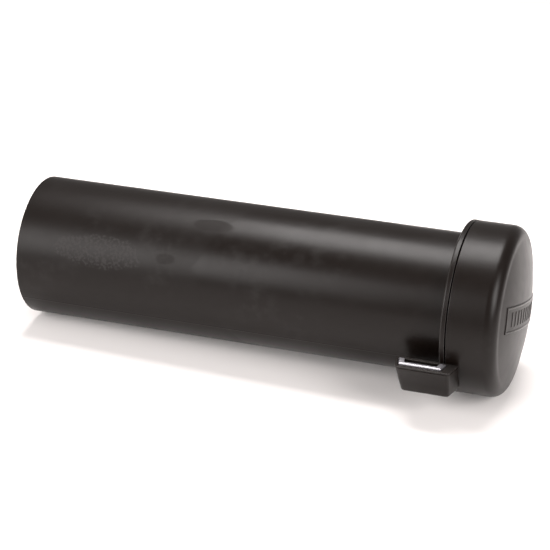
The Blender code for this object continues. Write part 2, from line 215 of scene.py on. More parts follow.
def edge_wear(outline: Array, loop: bool) -> Array:
    """Return how sharply an outline turns outwards at each point: 1 at a rounding of 1 mm or less.

    The turn is the angle between the point's two sides, over the mean of their lengths.

    Args:
        outline: points of two numbers.
        loop: whether the outline closes on itself.

    Returns:
        A number from 0 to 1 for each point.
    """
    before = outline - np.roll(outline, 1, 0)
    after = np.roll(outline, -1, 0) - outline
    if loop:
        before[0] = before[-1] = outline[-1] - outline[-2]
        after[0] = after[-1] = outline[1] - outline[0]
    cross = before[:, 0] * after[:, 1] - before[:, 1] * after[:, 0]
    dot = (before * after).sum(1)
    length = (np.linalg.norm(before, axis=1) + np.linalg.norm(after, axis=1)) / 2
    ring = np.vstack([outline, outline[:1]])
    way_round = np.sign((ring[:-1, 0] * ring[1:, 1] - ring[1:, 0] * ring[:-1, 1]).sum())
    wear = np.clip(way_round * np.arctan2(cross, dot) / np.maximum(length, 1e-9) * SHARPEST, 0.0, 1.0)
    if not loop:
        wear[0] = wear[-1] = 0.0
    return wear


@dataclass
class Patch:
    """A grid of points that becomes one stretch of a piece's surface.

    Attributes:
        points: rows × columns × 3, in the canister's coordinates.
        flat: rows × columns × 2, the same points laid out flat, in metres.
        wear: rows × columns, or None for none.
    """

    points: Array
    flat: Array
    wear: Array | None = None

    @property
    def worn(self) -> Array:
        """Return the wear of every point."""
        return np.zeros(self.points.shape[:2]) if self.wear is None else self.wear


def even_turns(count: int) -> Array:
    """Return count + 1 angles spread evenly over a full turn, the last on the first."""
    return np.linspace(0.0, 2 * math.pi, count + 1)


def turned(
    outline: Array,
    turns: Array,
    centre: tuple[float, float] = (0.0, 0.0),
    swell: Array | float = 0.0,
    shift: Array | float = 0.0,
    loop: bool = True,
) -> Patch:
    """Turn an outline of (x, radius) points about a line along x.

    A point at angle a is (x, -r sin a, -r cos a), moved to the line's place.

    Args:
        outline: the points, closed on itself or with both ends on the axis.
        turns: the angles, from 0 to a full turn.
        centre: y and z of the line.
        swell: added to the radius, for each point and angle.
        shift: added to x, for each point and angle.
        loop: whether the outline is closed on itself.

    Returns:
        The surface, its flat layout being the distance along the outline and round its widest circle.
    """
    grid = np.zeros((len(outline), len(turns)))
    radius = outline[:, 1:] + grid + swell
    y, z = centre[0] - radius * np.sin(turns), centre[1] - radius * np.cos(turns)
    points = np.stack([outline[:, :1] + grid + shift, y, z], -1)
    flat = layout(run_length(outline), turns * outline[:, 1].max())
    return Patch(points, flat, edge_wear(outline, loop)[:, None] + grid)


def slab(face: Array, back: Array, flat: Array, wear: Array | None = None) -> list[Patch]:
    """Close two grids of the same shape into a solid with a strip along each of the four sides.

    Args:
        face: the outer grid, rows × columns × 3.
        back: the inner grid, which faces it point by point.
        flat: the flat layout of both.
        wear: the wear of both.

    Returns:
        Six patches.
    """
    worn = np.zeros(flat.shape[:2]) if wear is None else wear
    grids = ((face, flat, worn), (back, flat, worn))
    made = [Patch(*grid) for grid in grids]
    for side in (np.s_[0], np.s_[-1], np.s_[:, 0], np.s_[:, -1]):
        made.append(Patch(*(np.stack([front[side], rear[side]]) for front, rear in zip(*grids))))
    return made


# --- pieces ---


class Body(Enum):
    """The bodies that pieces ride on."""

    CANISTER = "canister"
    SEAL = "seal"
    CAP = "cap"
    BLANKET = "blanket"


def grid_quads(rows: int, columns: int, first: int) -> Array:
    """Return the corners of a grid's quads, where its points are numbered row by row from first."""
    index = np.arange(rows * columns).reshape(rows, columns) + first
    return np.stack([index[:-1, :-1], index[1:, :-1], index[1:, 1:], index[:-1, 1:]], -1).reshape(-1, 4)


def new_mesh(name: str, patches: list[Patch]) -> bpy.types.Mesh:
    """Join patches into a mesh whose seams and poles are closed and whose faces point outwards.

    Args:
        name: the mesh's name.
        patches: the grids, whose edges meet where the surface runs on.

    Returns:
        The mesh, with its flat layout as a UV map and its wear as an attribute.
    """
    sizes = [patch.points.shape[0] * patch.points.shape[1] for patch in patches]
    starts = np.concatenate([[0], np.cumsum(sizes)[:-1]])
    points = np.concatenate([patch.points.reshape(-1, 3) for patch in patches]) + AXIS_START
    flat = np.concatenate([patch.flat.reshape(-1, 2) for patch in patches])
    worn = np.concatenate([patch.worn.reshape(-1) for patch in patches])
    grids = [grid_quads(*patch.points.shape[:2], start) for patch, start in zip(patches, starts)]
    quads = np.concatenate(grids)
    mesh = bpy.data.meshes.new(name)
    mesh.from_pydata(points.tolist(), [], quads.tolist())
    layout = mesh.uv_layers.new(name=SURFACE_MAP)
    layout.uv.foreach_set("vector", flat[quads.ravel()].astype(np.float32).ravel())
    attribute = mesh.attributes.new(WEAR, "FLOAT", "POINT")
    attribute.data.foreach_set("value", worn.astype(np.float32))
    shape = bmesh.new()
    shape.from_mesh(mesh)
    bmesh.ops.remove_doubles(shape, verts=shape.verts, dist=MERGE)
    bmesh.ops.recalc_face_normals(shape, faces=shape.faces)
    shape.to_mesh(mesh)
    shape.free()
    mesh.shade_smooth()
    mesh.set_sharp_from_angle(angle=CREASE)
    return mesh


def add_object(name: str, made: bpy.types.ID) -> bpy.types.Object:
    """Put a mesh, a light or a camera into the scene as an object at the origin."""
    piece = bpy.data.objects.new(name, made)
    bpy.context.scene.collection.objects.link(piece)
    return piece


def combine(piece: bpy.types.Object, operation: str, patches: list[Patch]) -> None:
    """Add closed shapes to a piece or cut them out of it, and keep the result as its mesh.

    Args:
        piece: the piece.
        operation: UNION or DIFFERENCE.
        patches: the closed shapes' surfaces.
    """
    other = add_object("other", new_mesh("other", patches))
    modifier = piece.modifiers.new("combine", "BOOLEAN")
    modifier.operation, modifier.solver, modifier.object = operation, "EXACT", other
    evaluated = piece.evaluated_get(bpy.context.evaluated_depsgraph_get())
    mesh = bpy.data.meshes.new_from_object(evaluated)
    piece.modifiers.clear()
    piece.data = mesh
    mesh.shade_smooth()
    mesh.set_sharp_from_angle(angle=CUT_CREASE)
    bpy.data.objects.remove(other)


def finish_piece(
    name: str,
    patches: list[Patch],
    finish: "Finish",
    body: Body,
    changes: tuple[tuple[str, list[Patch]], ...] = (),
) -> bpy.types.Object:
    """Make a piece that stands for the CAD node of its name, without the last part of its name.

    Args:
        name: the piece's name, which is the CAD node's name and "_look".
        patches: its surface.
        finish: its material.
        body: what it rides on.
        changes: operations with closed shapes, in their order.

    Returns:
        The piece.
    """
    piece = add_object(name, new_mesh(name, patches))
    for operation, shapes in changes:
        combine(piece, operation, shapes)
    piece.data.materials.clear()
    piece.data.materials.append(finish.material())
    piece.modifiers.new("even_normals", "WEIGHTED_NORMAL").keep_sharp = True
    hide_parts(name.removesuffix("_look"))
    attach(piece, body.value)
    log.info("%s: %d faces, %s", name, len(piece.data.polygons), finish.label)
    return piece


# --- shader graphs ---


def maths(operation: str, swapped: bool = False) -> Callable[..., "Signal"]:
    """Return a method of Signal that adds a Math node.

    Args:
        operation: the node's operation.
        swapped: whether the other value comes before the signal.

    Returns:
        The method, which takes the other value if the operation has one.
    """

    def method(signal: "Signal", *other: "Signal | float") -> "Signal":
        """Add the node on the signal and the other value."""
        values = (*other, signal) if swapped else (signal, *other)
        return signal.graph.signal("ShaderNodeMath", {"operation": operation}, dict(enumerate(values)))

    return method


@dataclass(frozen=True)
class Signal:
    """A number that varies over a surface. Arithmetic on it adds Math nodes.

    Attributes:
        graph: the graph it belongs to.
        socket: the output socket that gives it.
    """

    graph: "Graph"
    socket: Socket
    __add__ = __radd__ = maths("ADD")
    __sub__ = maths("SUBTRACT")
    __rsub__ = maths("SUBTRACT", swapped=True)
    __mul__ = __rmul__ = maths("MULTIPLY")
    __abs__ = maths("ABSOLUTE")
    sine = maths("SINE")
    angle_with = maths("ARCTAN2")  # the angle whose tangent is this signal over the other

    def eased(self, low: float, high: float) -> "Signal":
        """Return 0 up to low, 1 from high, and a smooth rise between. High may be the smaller one."""
        inputs = {"Value": self, "From Min": low, "From Max": high}
        return self.graph.signal("ShaderNodeMapRange", {"interpolation_type": "SMOOTHSTEP"}, inputs, "Result")


class Graph:
    """The node graph of one material, with its shader and its output."""

    def __init__(self, name: str) -> None:
        """Start a material whose surface is a Principled shader."""
        self.made = bpy.data.materials.new(name)
        self.made.use_nodes = True
        self.tree = self.made.node_tree
        self.tree.nodes.clear()
        self.shader = self.add("ShaderNodeBsdfPrincipled", {}, {})
        self.add("ShaderNodeOutputMaterial", {}, {"Surface": self.shader.outputs["BSDF"]})

    def add(self, kind: str, settings: dict, inputs: dict) -> bpy.types.Node:
        """Add a node.

        Args:
            kind: the node's type.
            settings: its properties, which are set first.
            inputs: a value, a Signal or an output socket for each input's name or number.

        Returns:
            The node.
        """
        node = self.tree.nodes.new(kind)
        for name, value in settings.items():
            setattr(node, name, value)
        self.feed(node, inputs)
        return node

    def feed(self, node: bpy.types.Node, inputs: dict) -> None:
        """Set or link a node's inputs."""
        for key, value in inputs.items():
            source = value.socket if isinstance(value, Signal) else value
            if isinstance(source, Socket):
                self.tree.links.new(source, node.inputs[key])
            else:
                node.inputs[key].default_value = source

    def signal(self, kind: str, settings: dict, inputs: dict, output: str | int = 0) -> Signal:
        """Add a node and return one of its outputs as a signal."""
        return Signal(self, self.add(kind, settings, inputs).outputs[output])

    def place(self, scale: Point = (1.0, 1.0, 1.0)) -> Socket:
        """Return Object coordinates measured from the closed end on the axis, then scaled."""
        source = self.add("ShaderNodeTexCoord", {}, {}).outputs["Object"]
        centred = self.add("ShaderNodeMapping", {}, {"Vector": source, "Location": -Vector(AXIS_START)})
        inputs = {"Vector": centred.outputs["Vector"], "Scale": scale}
        return self.add("ShaderNodeMapping", {}, inputs).outputs["Vector"]

    def parts(self, vector: Socket) -> tuple[Signal, Signal, Signal]:
        """Return a vector's three numbers."""
        node = self.add("ShaderNodeSeparateXYZ", {}, {"Vector": vector})
        return tuple(Signal(self, output) for output in node.outputs)

    def flat(self) -> tuple[Signal, Signal]:
        """Return the piece's own flat layout, in metres."""
        node = self.add("ShaderNodeUVMap", {"uv_map": SURFACE_MAP}, {})
        along, across, _ = self.parts(node.outputs["UV"])
        return along, across

    def wear(self) -> Signal:
        """Return the wear of the piece's edges."""
        return self.signal("ShaderNodeAttribute", {"attribute_name": WEAR}, {}, "Fac")

    def noise(self, vector: Socket, size: float, detail: float, distortion: float = 0.0) -> Signal:
        """Return noise from 0 to 1 whose patches are about size metres wide."""
        inputs = {"Vector": vector, "Scale": 1.0 / size, "Detail": detail, "Distortion": distortion}
        return self.signal("ShaderNodeTexNoise", {}, inputs, "Fac")

    def cells(self, vector: Socket, size: float) -> Signal:
        """Return the distance from the nearest of a scatter of points about size metres apart."""
        inputs = {"Vector": vector, "Scale": 1.0 / size}
        return self.signal("ShaderNodeTexVoronoi", {"feature": "F1"}, inputs, "Distance")

    def mixed(self, share: Signal, start: Colour | Socket, end: Colour) -> Socket:
        """Return the start colour where share is 0 and the end colour where it is 1."""
        first = start if isinstance(start, Socket) else (*start, 1.0)
        node = self.add("ShaderNodeMix", {"data_type": "RGBA"}, {0: share, 6: first, 7: (*end, 1.0)})
        return node.outputs[2]

    def bumped(self, height: Signal, distance: float, **under: Socket) -> Socket:
        """Return the normal of a height that 1 raises by distance metres, on top of Normal where given."""
        inputs = {"Height": height, "Distance": distance, "Strength": 1.0, **under}
        return self.add("ShaderNodeBump", {}, inputs).outputs["Normal"]


# --- finishes ---


@dataclass(frozen=True)
class Finish:
    """What a piece is made of and how its surface was left.

    Attributes:
        label: the material's name.
        slot: the record's material slot.
        colour: the clean surface's colour, linear.
        roughness: the clean surface's roughness.
    """

    label: str
    slot: str
    colour: Colour
    roughness: float

    def material(self) -> bpy.types.Material:
        """Return the material, made on first use."""
        name = f"{self.label}_finish"
        found = bpy.data.materials.get(name)
        if found:
            return found
        graph = Graph(name)
        graph.feed(graph.shader, {"Base Color": (*self.colour, 1.0), "Roughness": self.roughness})
        graph.feed(graph.shader, self.shade(graph))
        return graph.made

    def shade(self, graph: Graph) -> dict:
        """Return what sets this finish apart, by the shader's sockets."""
        return {}

    def dimmed(self, share: float) -> Colour:
        """Return the finish's colour at a share of its brightness."""
        return tuple(share * value for value in self.colour)


@dataclass(frozen=True)
class MouldedPlastic(Finish):
    """Satin plastic from a spark-eroded mould, with fine grain, faint flow waves, dust and rubbed edges,
    painted lighter as a highlight.

    Attributes:
        gloss: the strength of its reflection, 0.5 being that of common plastic.
        grain: how deep the grain is.
        dust: how far the thickest dust hides the colour.
        hand_marks: whether it has been wiped and scuffed by hands.
    """

    gloss: float = 0.195
    grain: float = 0.000012
    dust: float = 0.14
    hand_marks: bool = False

    def shade(self, graph: Graph) -> dict:
        """Dust lies in mottled patches, edges are polished by handling and painted lighter as a highlight,
        and marks mostly change the gloss.
        """
        place = graph.place()
        mottle = graph.noise(place, size=0.006, detail=5.0)
        grain = graph.noise(place, size=0.00045, detail=2.0)
        patches = graph.noise(place, size=0.055, detail=3.0, distortion=0.4).eased(0.50, 0.72)
        clouds = graph.noise(place, size=0.030, detail=3.0)
        waves = graph.noise(graph.place((0.25, 1.0, 1.0)), size=0.012, detail=1.0)
        dust = patches * mottle.eased(0.40, 0.72) * self.dust
        worn = graph.wear().eased(0.15, 0.9)
        roughness = self.roughness + (clouds - 0.5) * 0.10 + (mottle - 0.5) * 0.08 + dust * 0.10 - worn * 0.10
        colour = graph.mixed(dust, self.colour, DUSTY)
        if self.hand_marks:
            wiped, dulled, scuffed = self.marks(graph, place)
            roughness = roughness - wiped * 0.07 + dulled * 0.18 + scuffed * 0.10
            colour = graph.mixed(scuffed * 0.4, colour, SCUFFED)
        return {
            # rubbed edges are painted lighter: partly real wear, partly a painted highlight where the edges
            # catch the light
            "Base Color": graph.mixed(worn * 0.35, colour, RUBBED_AND_HIGHLIT),
            "Roughness": roughness,
            "Specular IOR Level": self.gloss,
            "Normal": graph.bumped(grain, self.grain, Normal=graph.bumped(waves, 0.00006)),
        }

    def marks(self, graph: Graph, place: Socket) -> tuple[Signal, Signal, Signal]:
        """Return three kinds of mark.

        A hand has wiped the tube past a bowed edge, a few spots are duller, and one patch is scuffed into
        speckles. A mark's place is an x and an angle round the axis, and its outline wavers with a noise.

        Args:
            graph: the material's graph.
            place: coordinates measured from the closed end on the axis.

        Returns:
            The wiped, the dulled and the scuffed share, each from 0 to 1.
        """
        x, y, z = graph.parts(place)
        angle = (y * -1.0).angle_with(z * -1.0)
        waver = graph.noise(place, size=0.012, detail=3.0) - 0.5

        def spot(at: float, facing: float, length: float, spread: float) -> Signal:
            """Return 1 inside an ellipse of x and angle, from its middle and its two reaches."""
            along = (x - at) * (1.0 / length)
            around = (angle - facing) * (1.0 / spread)
            return (along * along + around * around + waver * 1.2).eased(1.15, 0.85)

        wiped = (x - abs(angle - 2.0) * 0.022 + waver * 0.010).eased(0.105, 0.108)
        dulled = spot(0.114, 2.66, 0.011, 0.11) + spot(0.091, 2.06, 0.006, 0.08) * 0.5
        speckle = graph.noise(place, size=0.0016, detail=4.0).eased(0.44, 0.62)
        scuffed = spot(0.050, 2.02, 0.026, 0.24) * speckle
        return wiped, dulled, scuffed


@dataclass(frozen=True)
class Rubber(Finish):
    """Dull black rubber with a bloom on it."""

    def shade(self, graph: Graph) -> dict:
        """The bloom is pale and patchy, and the surface finely pitted."""
        place = graph.place()
        bloom = graph.noise(place, size=0.004, detail=5.0).eased(0.42, 0.75)
        return {
            "Base Color": graph.mixed(bloom * 0.5, self.colour, BLOOM),
            "Roughness": self.roughness + bloom * 0.12,
            "Normal": graph.bumped(graph.noise(place, size=0.0004, detail=3.0), 0.00003),
        }


@dataclass(frozen=True)
class SheetMetal(Finish):
    """Bright metal with fine drawn lines, or plating with a cloudy grain.

    Attributes:
        lines: the coordinates' scale, small along the lines and 1 for no lines.
        depth: how deep they are.
    """

    lines: Point = (0.04, 1.0, 1.0)
    depth: float = 0.000006

    def shade(self, graph: Graph) -> dict:
        """Lines run where the coordinates are stretched, and tarnish lies in clouds."""
        drawn = graph.noise(graph.place(self.lines), size=0.00025, detail=3.0)
        tarnish = graph.noise(graph.place(), size=0.003, detail=4.0).eased(0.55, 0.8)
        return {
            "Base Color": graph.mixed(tarnish * 0.35, self.colour, self.dimmed(0.75)),
            "Roughness": self.roughness + (drawn - 0.5) * 0.10 + tarnish * 0.12,
            "Metallic": 1.0,
            "Normal": graph.bumped(drawn, self.depth),
        }


@dataclass(frozen=True)
class OpenFoam(Finish):
    """Open-cell foam: a scatter of small pores with thin webs between.

    Attributes:
        pore: the distance from pore to pore.
    """

    pore: float = 0.0007

    def shade(self, graph: Graph) -> dict:
        """Pores of two sizes are deeper towards their middle and painted darker there as shade, and a stain
        lies over them.
        """
        place = graph.place()
        pores, small = graph.cells(place, self.pore), graph.cells(place, self.pore * 0.45)
        web = (pores * 0.7 + small * 0.3).eased(0.12, 0.55)
        stain = graph.noise(place, size=0.012, detail=4.0).eased(0.4, 0.7)
        return {
            # the pores take a quarter of the colour: painted shade inside the holes
            "Base Color": graph.mixed(stain * 0.3, graph.mixed(web, self.dimmed(0.25), self.colour), STAIN),
            "Roughness": self.roughness,
            "Specular IOR Level": 0.15,
            "Normal": graph.bumped(web, 0.00025),
        }


@dataclass(frozen=True)
class WovenCloth(Finish):
    """Cloth woven from two sets of yarns, over one and under one.

    Attributes:
        pitch: the distance from yarn to yarn.
        hem: how far from the cut edges the hem is sewn, or 0 for none.
        extent: the flat cloth's length and width.
        skew: how many yarns the weave steps over for each row, for a twill.
        sheen: the strength of the fuzz's glow.
        rumple: how deep the soft creases are.
        gap_shade: the colour between the yarns, where they dip: a painted shade.
    """

    pitch: float = 0.0009
    hem: float = 0.0
    extent: tuple[float, float] = (1.0, 1.0)
    skew: float = 0.0
    sheen: float = 0.0
    rumple: float = 0.0002
    gap_shade: Colour = (0.3, 0.3, 0.3)

    def shade(self, graph: Graph) -> dict:
        """A yarn's height is the size of a sine across it, and the one on top at a crossing stands higher.

        Which is on top is sin(along) sin(across), that is high where one set of yarns passes over the other.
        """
        along, across = graph.flat()
        turn = math.pi / self.pitch
        warp = (along * turn).sine()
        weft = (across * turn + along * (turn * self.skew)).sine()
        ribs = abs(warp) * 0.5 + abs(weft) * 0.5
        height = warp * weft * 0.35 + ribs * 0.65
        place = graph.place()
        fuzz = graph.noise(place, size=0.0005, detail=3.0)
        slub = graph.noise(place, size=0.008, detail=4.0).eased(0.45, 0.8)
        creases = graph.noise(graph.place((0.5, 1.0, 1.0)), size=0.011, detail=3.0, distortion=0.8)
        # low places between the yarns take the darker colour: painted shade in the weave
        colour = graph.mixed((height * 0.8 + fuzz * 0.35).eased(0.15, 0.75), self.gap_shade, self.colour)
        colour = graph.mixed(slub * 0.35, colour, self.dimmed(0.72))
        if self.hem:
            sewn = self.sewn(along, across)
            colour = graph.mixed(sewn, colour, THREAD)
            height = height + sewn * 0.8
        return {
            "Base Color": colour,
            "Roughness": self.roughness + (fuzz - 0.5) * 0.10,
            "Sheen Weight": self.sheen,
            "Sheen Roughness": 0.5,
            "Specular IOR Level": 0.25,
            "Normal": graph.bumped(
                height + fuzz * 0.3, self.pitch * 0.22, Normal=graph.bumped(creases, self.rumple)
            ),
        }

    def sewn(self, along: Signal, across: Signal) -> Signal:
        """Return 1 on the stitches, which are dashes on a line at the hem's width from each cut edge."""

        def line(place: Signal, size: float) -> Signal:
            """Return 1 on the two lines at the hem's width from 0 and from size."""
            return abs(abs(place - size / 2) - (size / 2 - self.hem)).eased(0.0007, 0.0004)

        def dashes(place: Signal) -> Signal:
            """Return 1 on dashes and 0 between them, 3.5 mm from one to the next."""
            return (place * (2 * math.pi / 0.0035)).sine().eased(-0.5, -0.2)

        return line(along, self.extent[0]) * dashes(across) + line(across, self.extent[1]) * dashes(along)


# the third colour paints rubbed edges lighter, partly as wear and partly as a painted highlight
DUSTY, SCUFFED, RUBBED_AND_HIGHLIT = (0.052, 0.049, 0.048), (0.042, 0.039, 0.038), (0.045, 0.042, 0.040)
BLOOM, STAIN, THREAD = (0.045, 0.045, 0.045), (0.11, 0.10, 0.09), (0.24, 0.225, 0.19)
MOULDED_BLACK = (0.0050, 0.0031, 0.0023)

BLACK = MouldedPlastic("satin_black", "black_moulding", MOULDED_BLACK, 0.33)
TUBE_BLACK = MouldedPlastic("handled_black", "black_moulding", MOULDED_BLACK, 0.40, hand_marks=True)
PANEL_BLACK = MouldedPlastic("panel_black", "panel_moulding", (0.0060, 0.0040, 0.0031), 0.36)
TAB_RED = MouldedPlastic("tab_red", "red_tab", (0.44, 0.018, 0.015), 0.42, gloss=0.4, dust=0.0)
RUBBER = Rubber("seal_rubber", "black_rubber", (0.012, 0.012, 0.012), 0.62)
STEEL = SheetMetal("pressed_steel", "bright_steel", (0.46, 0.45, 0.48), 0.40)
ZINC = SheetMetal("zinc_plate", "zinc_screw", (0.52, 0.52, 0.50), 0.36, (1.0, 1.0, 1.0), 0.000004)
FOAM = OpenFoam("grey_foam", "grey_foam", (0.13, 0.13, 0.13), 0.95)
GLASS_CLOTH = WovenCloth(
    "glass_cloth", "glass_cloth", (0.54, 0.518, 0.462), 0.72,
    hem=0.010, extent=(1.2, 1.2), rumple=0.0014, gap_shade=(0.27, 0.255, 0.215),
)
WEBBING = WovenCloth(
    "black_webbing", "black_webbing", (0.045, 0.045, 0.048), 0.75,
    skew=0.5, sheen=0.6, gap_shade=(0.006, 0.006, 0.007),
)


# --- canister ---


@dataclass
class Canister:
    """The tube with its collar, gasket, closed end and the pad inside it."""

    wall: float = 0.0030
    parting_angle: float = math.radians(62)
    parting_height: float = 0.00010
    parting_width: float = 0.00028
    base_face: float = 0.0030
    base_wall: float = 0.0030
    bead: float = 0.0003
    sides: int = 288
    length: float = field(default_factory=lambda: ends_of("tube_body")[1])
    radius: float = field(default_factory=lambda: true_radius("tube_body"))

    @property
    def bore(self) -> float:
        """Return the radius of the tube's bore."""
        return self.radius - self.wall

    def build(self) -> None:
        """Make and place every piece of the canister."""
        self.make_tube()
        self.make_collar()
        self.make_gasket()
        self.make_base()
        make_pad("base_foam_pad", Body.CANISTER)

    def make_tube(self) -> None:
        """Tube with a parting line along each side.

        The line is a low ridge: height times exp(-(distance / width)²), on the outer surface only.
        """
        rows = [(0.0, self.radius, 0.0009), (self.length, self.radius, 0.0003)]
        outline = profile(rows + [(self.length, self.bore, 0.0006), (0.0, self.bore, 0.0003)])
        near = np.linspace(-4.0, 4.0, 17) * self.parting_width / self.radius
        lines = np.array([self.parting_angle, self.parting_angle + math.pi])
        turns = np.unique(np.concatenate([even_turns(self.sides), (lines[:, None] + near).ravel()]))
        off = np.abs(turns - lines[:, None]).min(0) * self.radius
        outer = ease(self.bore + self.wall * 0.6, self.radius - 0.0002, outline[:, 1:])
        ridge = self.parting_height * np.exp(-((off / self.parting_width) ** 2)) * outer
        finish_piece("tube_body_look", [turned(outline, turns, swell=ridge)], TUBE_BLACK, Body.CANISTER)

    def make_collar(self) -> None:
        """Ring round the mouth, with a soft outer edge towards the tube and a groove where it meets it."""
        start, end = ends_of("collar_ring")
        outer, inner = true_radius("collar_ring"), self.radius + MEETING
        rows = [(start, inner, 0.0007), (start, outer, 0.0011), (end, outer, 0.0003), (end, inner, 0.0003)]
        patch = turned(profile(rows, 7), even_turns(self.sides))
        finish_piece("collar_ring_look", [patch], BLACK, Body.CANISTER)

    def make_gasket(self) -> None:
        """Flat ring with a bead on the face that the plug's plate closes on."""
        start, top = ends_of("mouth_gasket")
        outer, inner = true_radius("mouth_gasket"), self.bore + 0.0005
        middle, foot, crest = (outer + inner) / 2, 0.0007, 0.0003
        face = top - self.bead
        rows = [(start, inner, 0.0002), (start, outer, 0.0002), (face, outer, 0.0002)]
        rows += [(face, middle + foot, 0.0001), (top, middle + crest, 0.0001)]
        rows += [(top, middle - crest, 0.0001), (face, middle - foot, 0.0001), (face, inner, 0.0002)]
        patch = turned(profile(rows, 3), even_turns(192))
        finish_piece("mouth_gasket_look", [patch], RUBBER, Body.CANISTER)

    def make_base(self) -> None:
        """Cup that closes the far end: a flat face with a shallow ring, and a gate mark in a dimple."""
        end, outer = ends_of("base_plug")[1], true_radius("base_plug")
        inner, floor = outer - self.base_wall, self.base_face
        ring, brim, bed, low = outer * 0.78, 0.0012, 0.0008, 0.0004
        dimple, sunk, gate, deep = 0.0040, 0.0006, 0.0012, 0.0011
        marks = [(deep, 0.0), (deep, gate), (sunk, gate + 0.0003), (sunk, dimple - sunk), (0.0, dimple)]
        marks += [(0.0, ring - brim), (low, ring - bed), (low, ring + bed), (0.0, ring + brim)]
        rows = [(x, radius, 0.0001) for x, radius in marks]
        rows += [(0.0, outer, 0.0008), (end, outer, 0.0006), (end, inner, 0.0006)]
        rows += [(floor, inner, 0.0010), (floor, 0.0, 0.0001)]
        patch = turned(profile(rows, 4, loop=False), even_turns(192), loop=False)
        finish_piece("base_plug_look", [patch], BLACK, Body.CANISTER)


def make_pad(node: str, body: Body) -> None:
    """Make a foam disc in place of a CAD node, crowned on both faces and a little lumpy.

    The crown is a share of the thickness times 1 - (r / R)², and the lumps are a sum of three waves that die
    away at the middle.

    Args:
        node: the CAD node's name.
        body: what it rides on.
    """
    start, end = ends_of(node)
    outer = true_radius(node)
    edge = min(0.0016, (end - start) * 0.3)
    corners = filleted([(start, 0.0), (start, outer), (end, outer), (end, 0.0)], edge, 6, loop=False)
    inner = np.linspace(0.0, outer - edge, 18)[:-1, None]
    face, back = (np.hstack([0 * inner + level, inner]) for level in (start, end))
    outline = np.concatenate([face, corners[1:-1], back[::-1]])
    turns = even_turns(144)
    radius, side = outline[:, 1:], np.sign(outline[:, :1] - (start + end) / 2)
    lumps = sum(
        np.sin(rate * radius / outer + phase) * np.cos(count * turns + phase)
        for rate, count, phase in ((5.0, 3, 0.4), (9.0, 5, 1.7), (14.0, 8, 2.9))
    )
    crown = 0.00012 + 0.00004 * lumps * ease(0.0, 0.4 * outer, radius)
    shift = -side * np.clip(1 - (radius / outer) ** 2, 0.0, 1.0) * crown
    swell = -np.abs(0.0001 * np.sin(7 * turns + 1.0) * ease(0.6 * outer, outer, radius))
    patch = turned(outline, turns, swell=swell, shift=shift, loop=False)
    pad = finish_piece(f"{node}_look", [patch], FOAM, body)


# --- cap ---


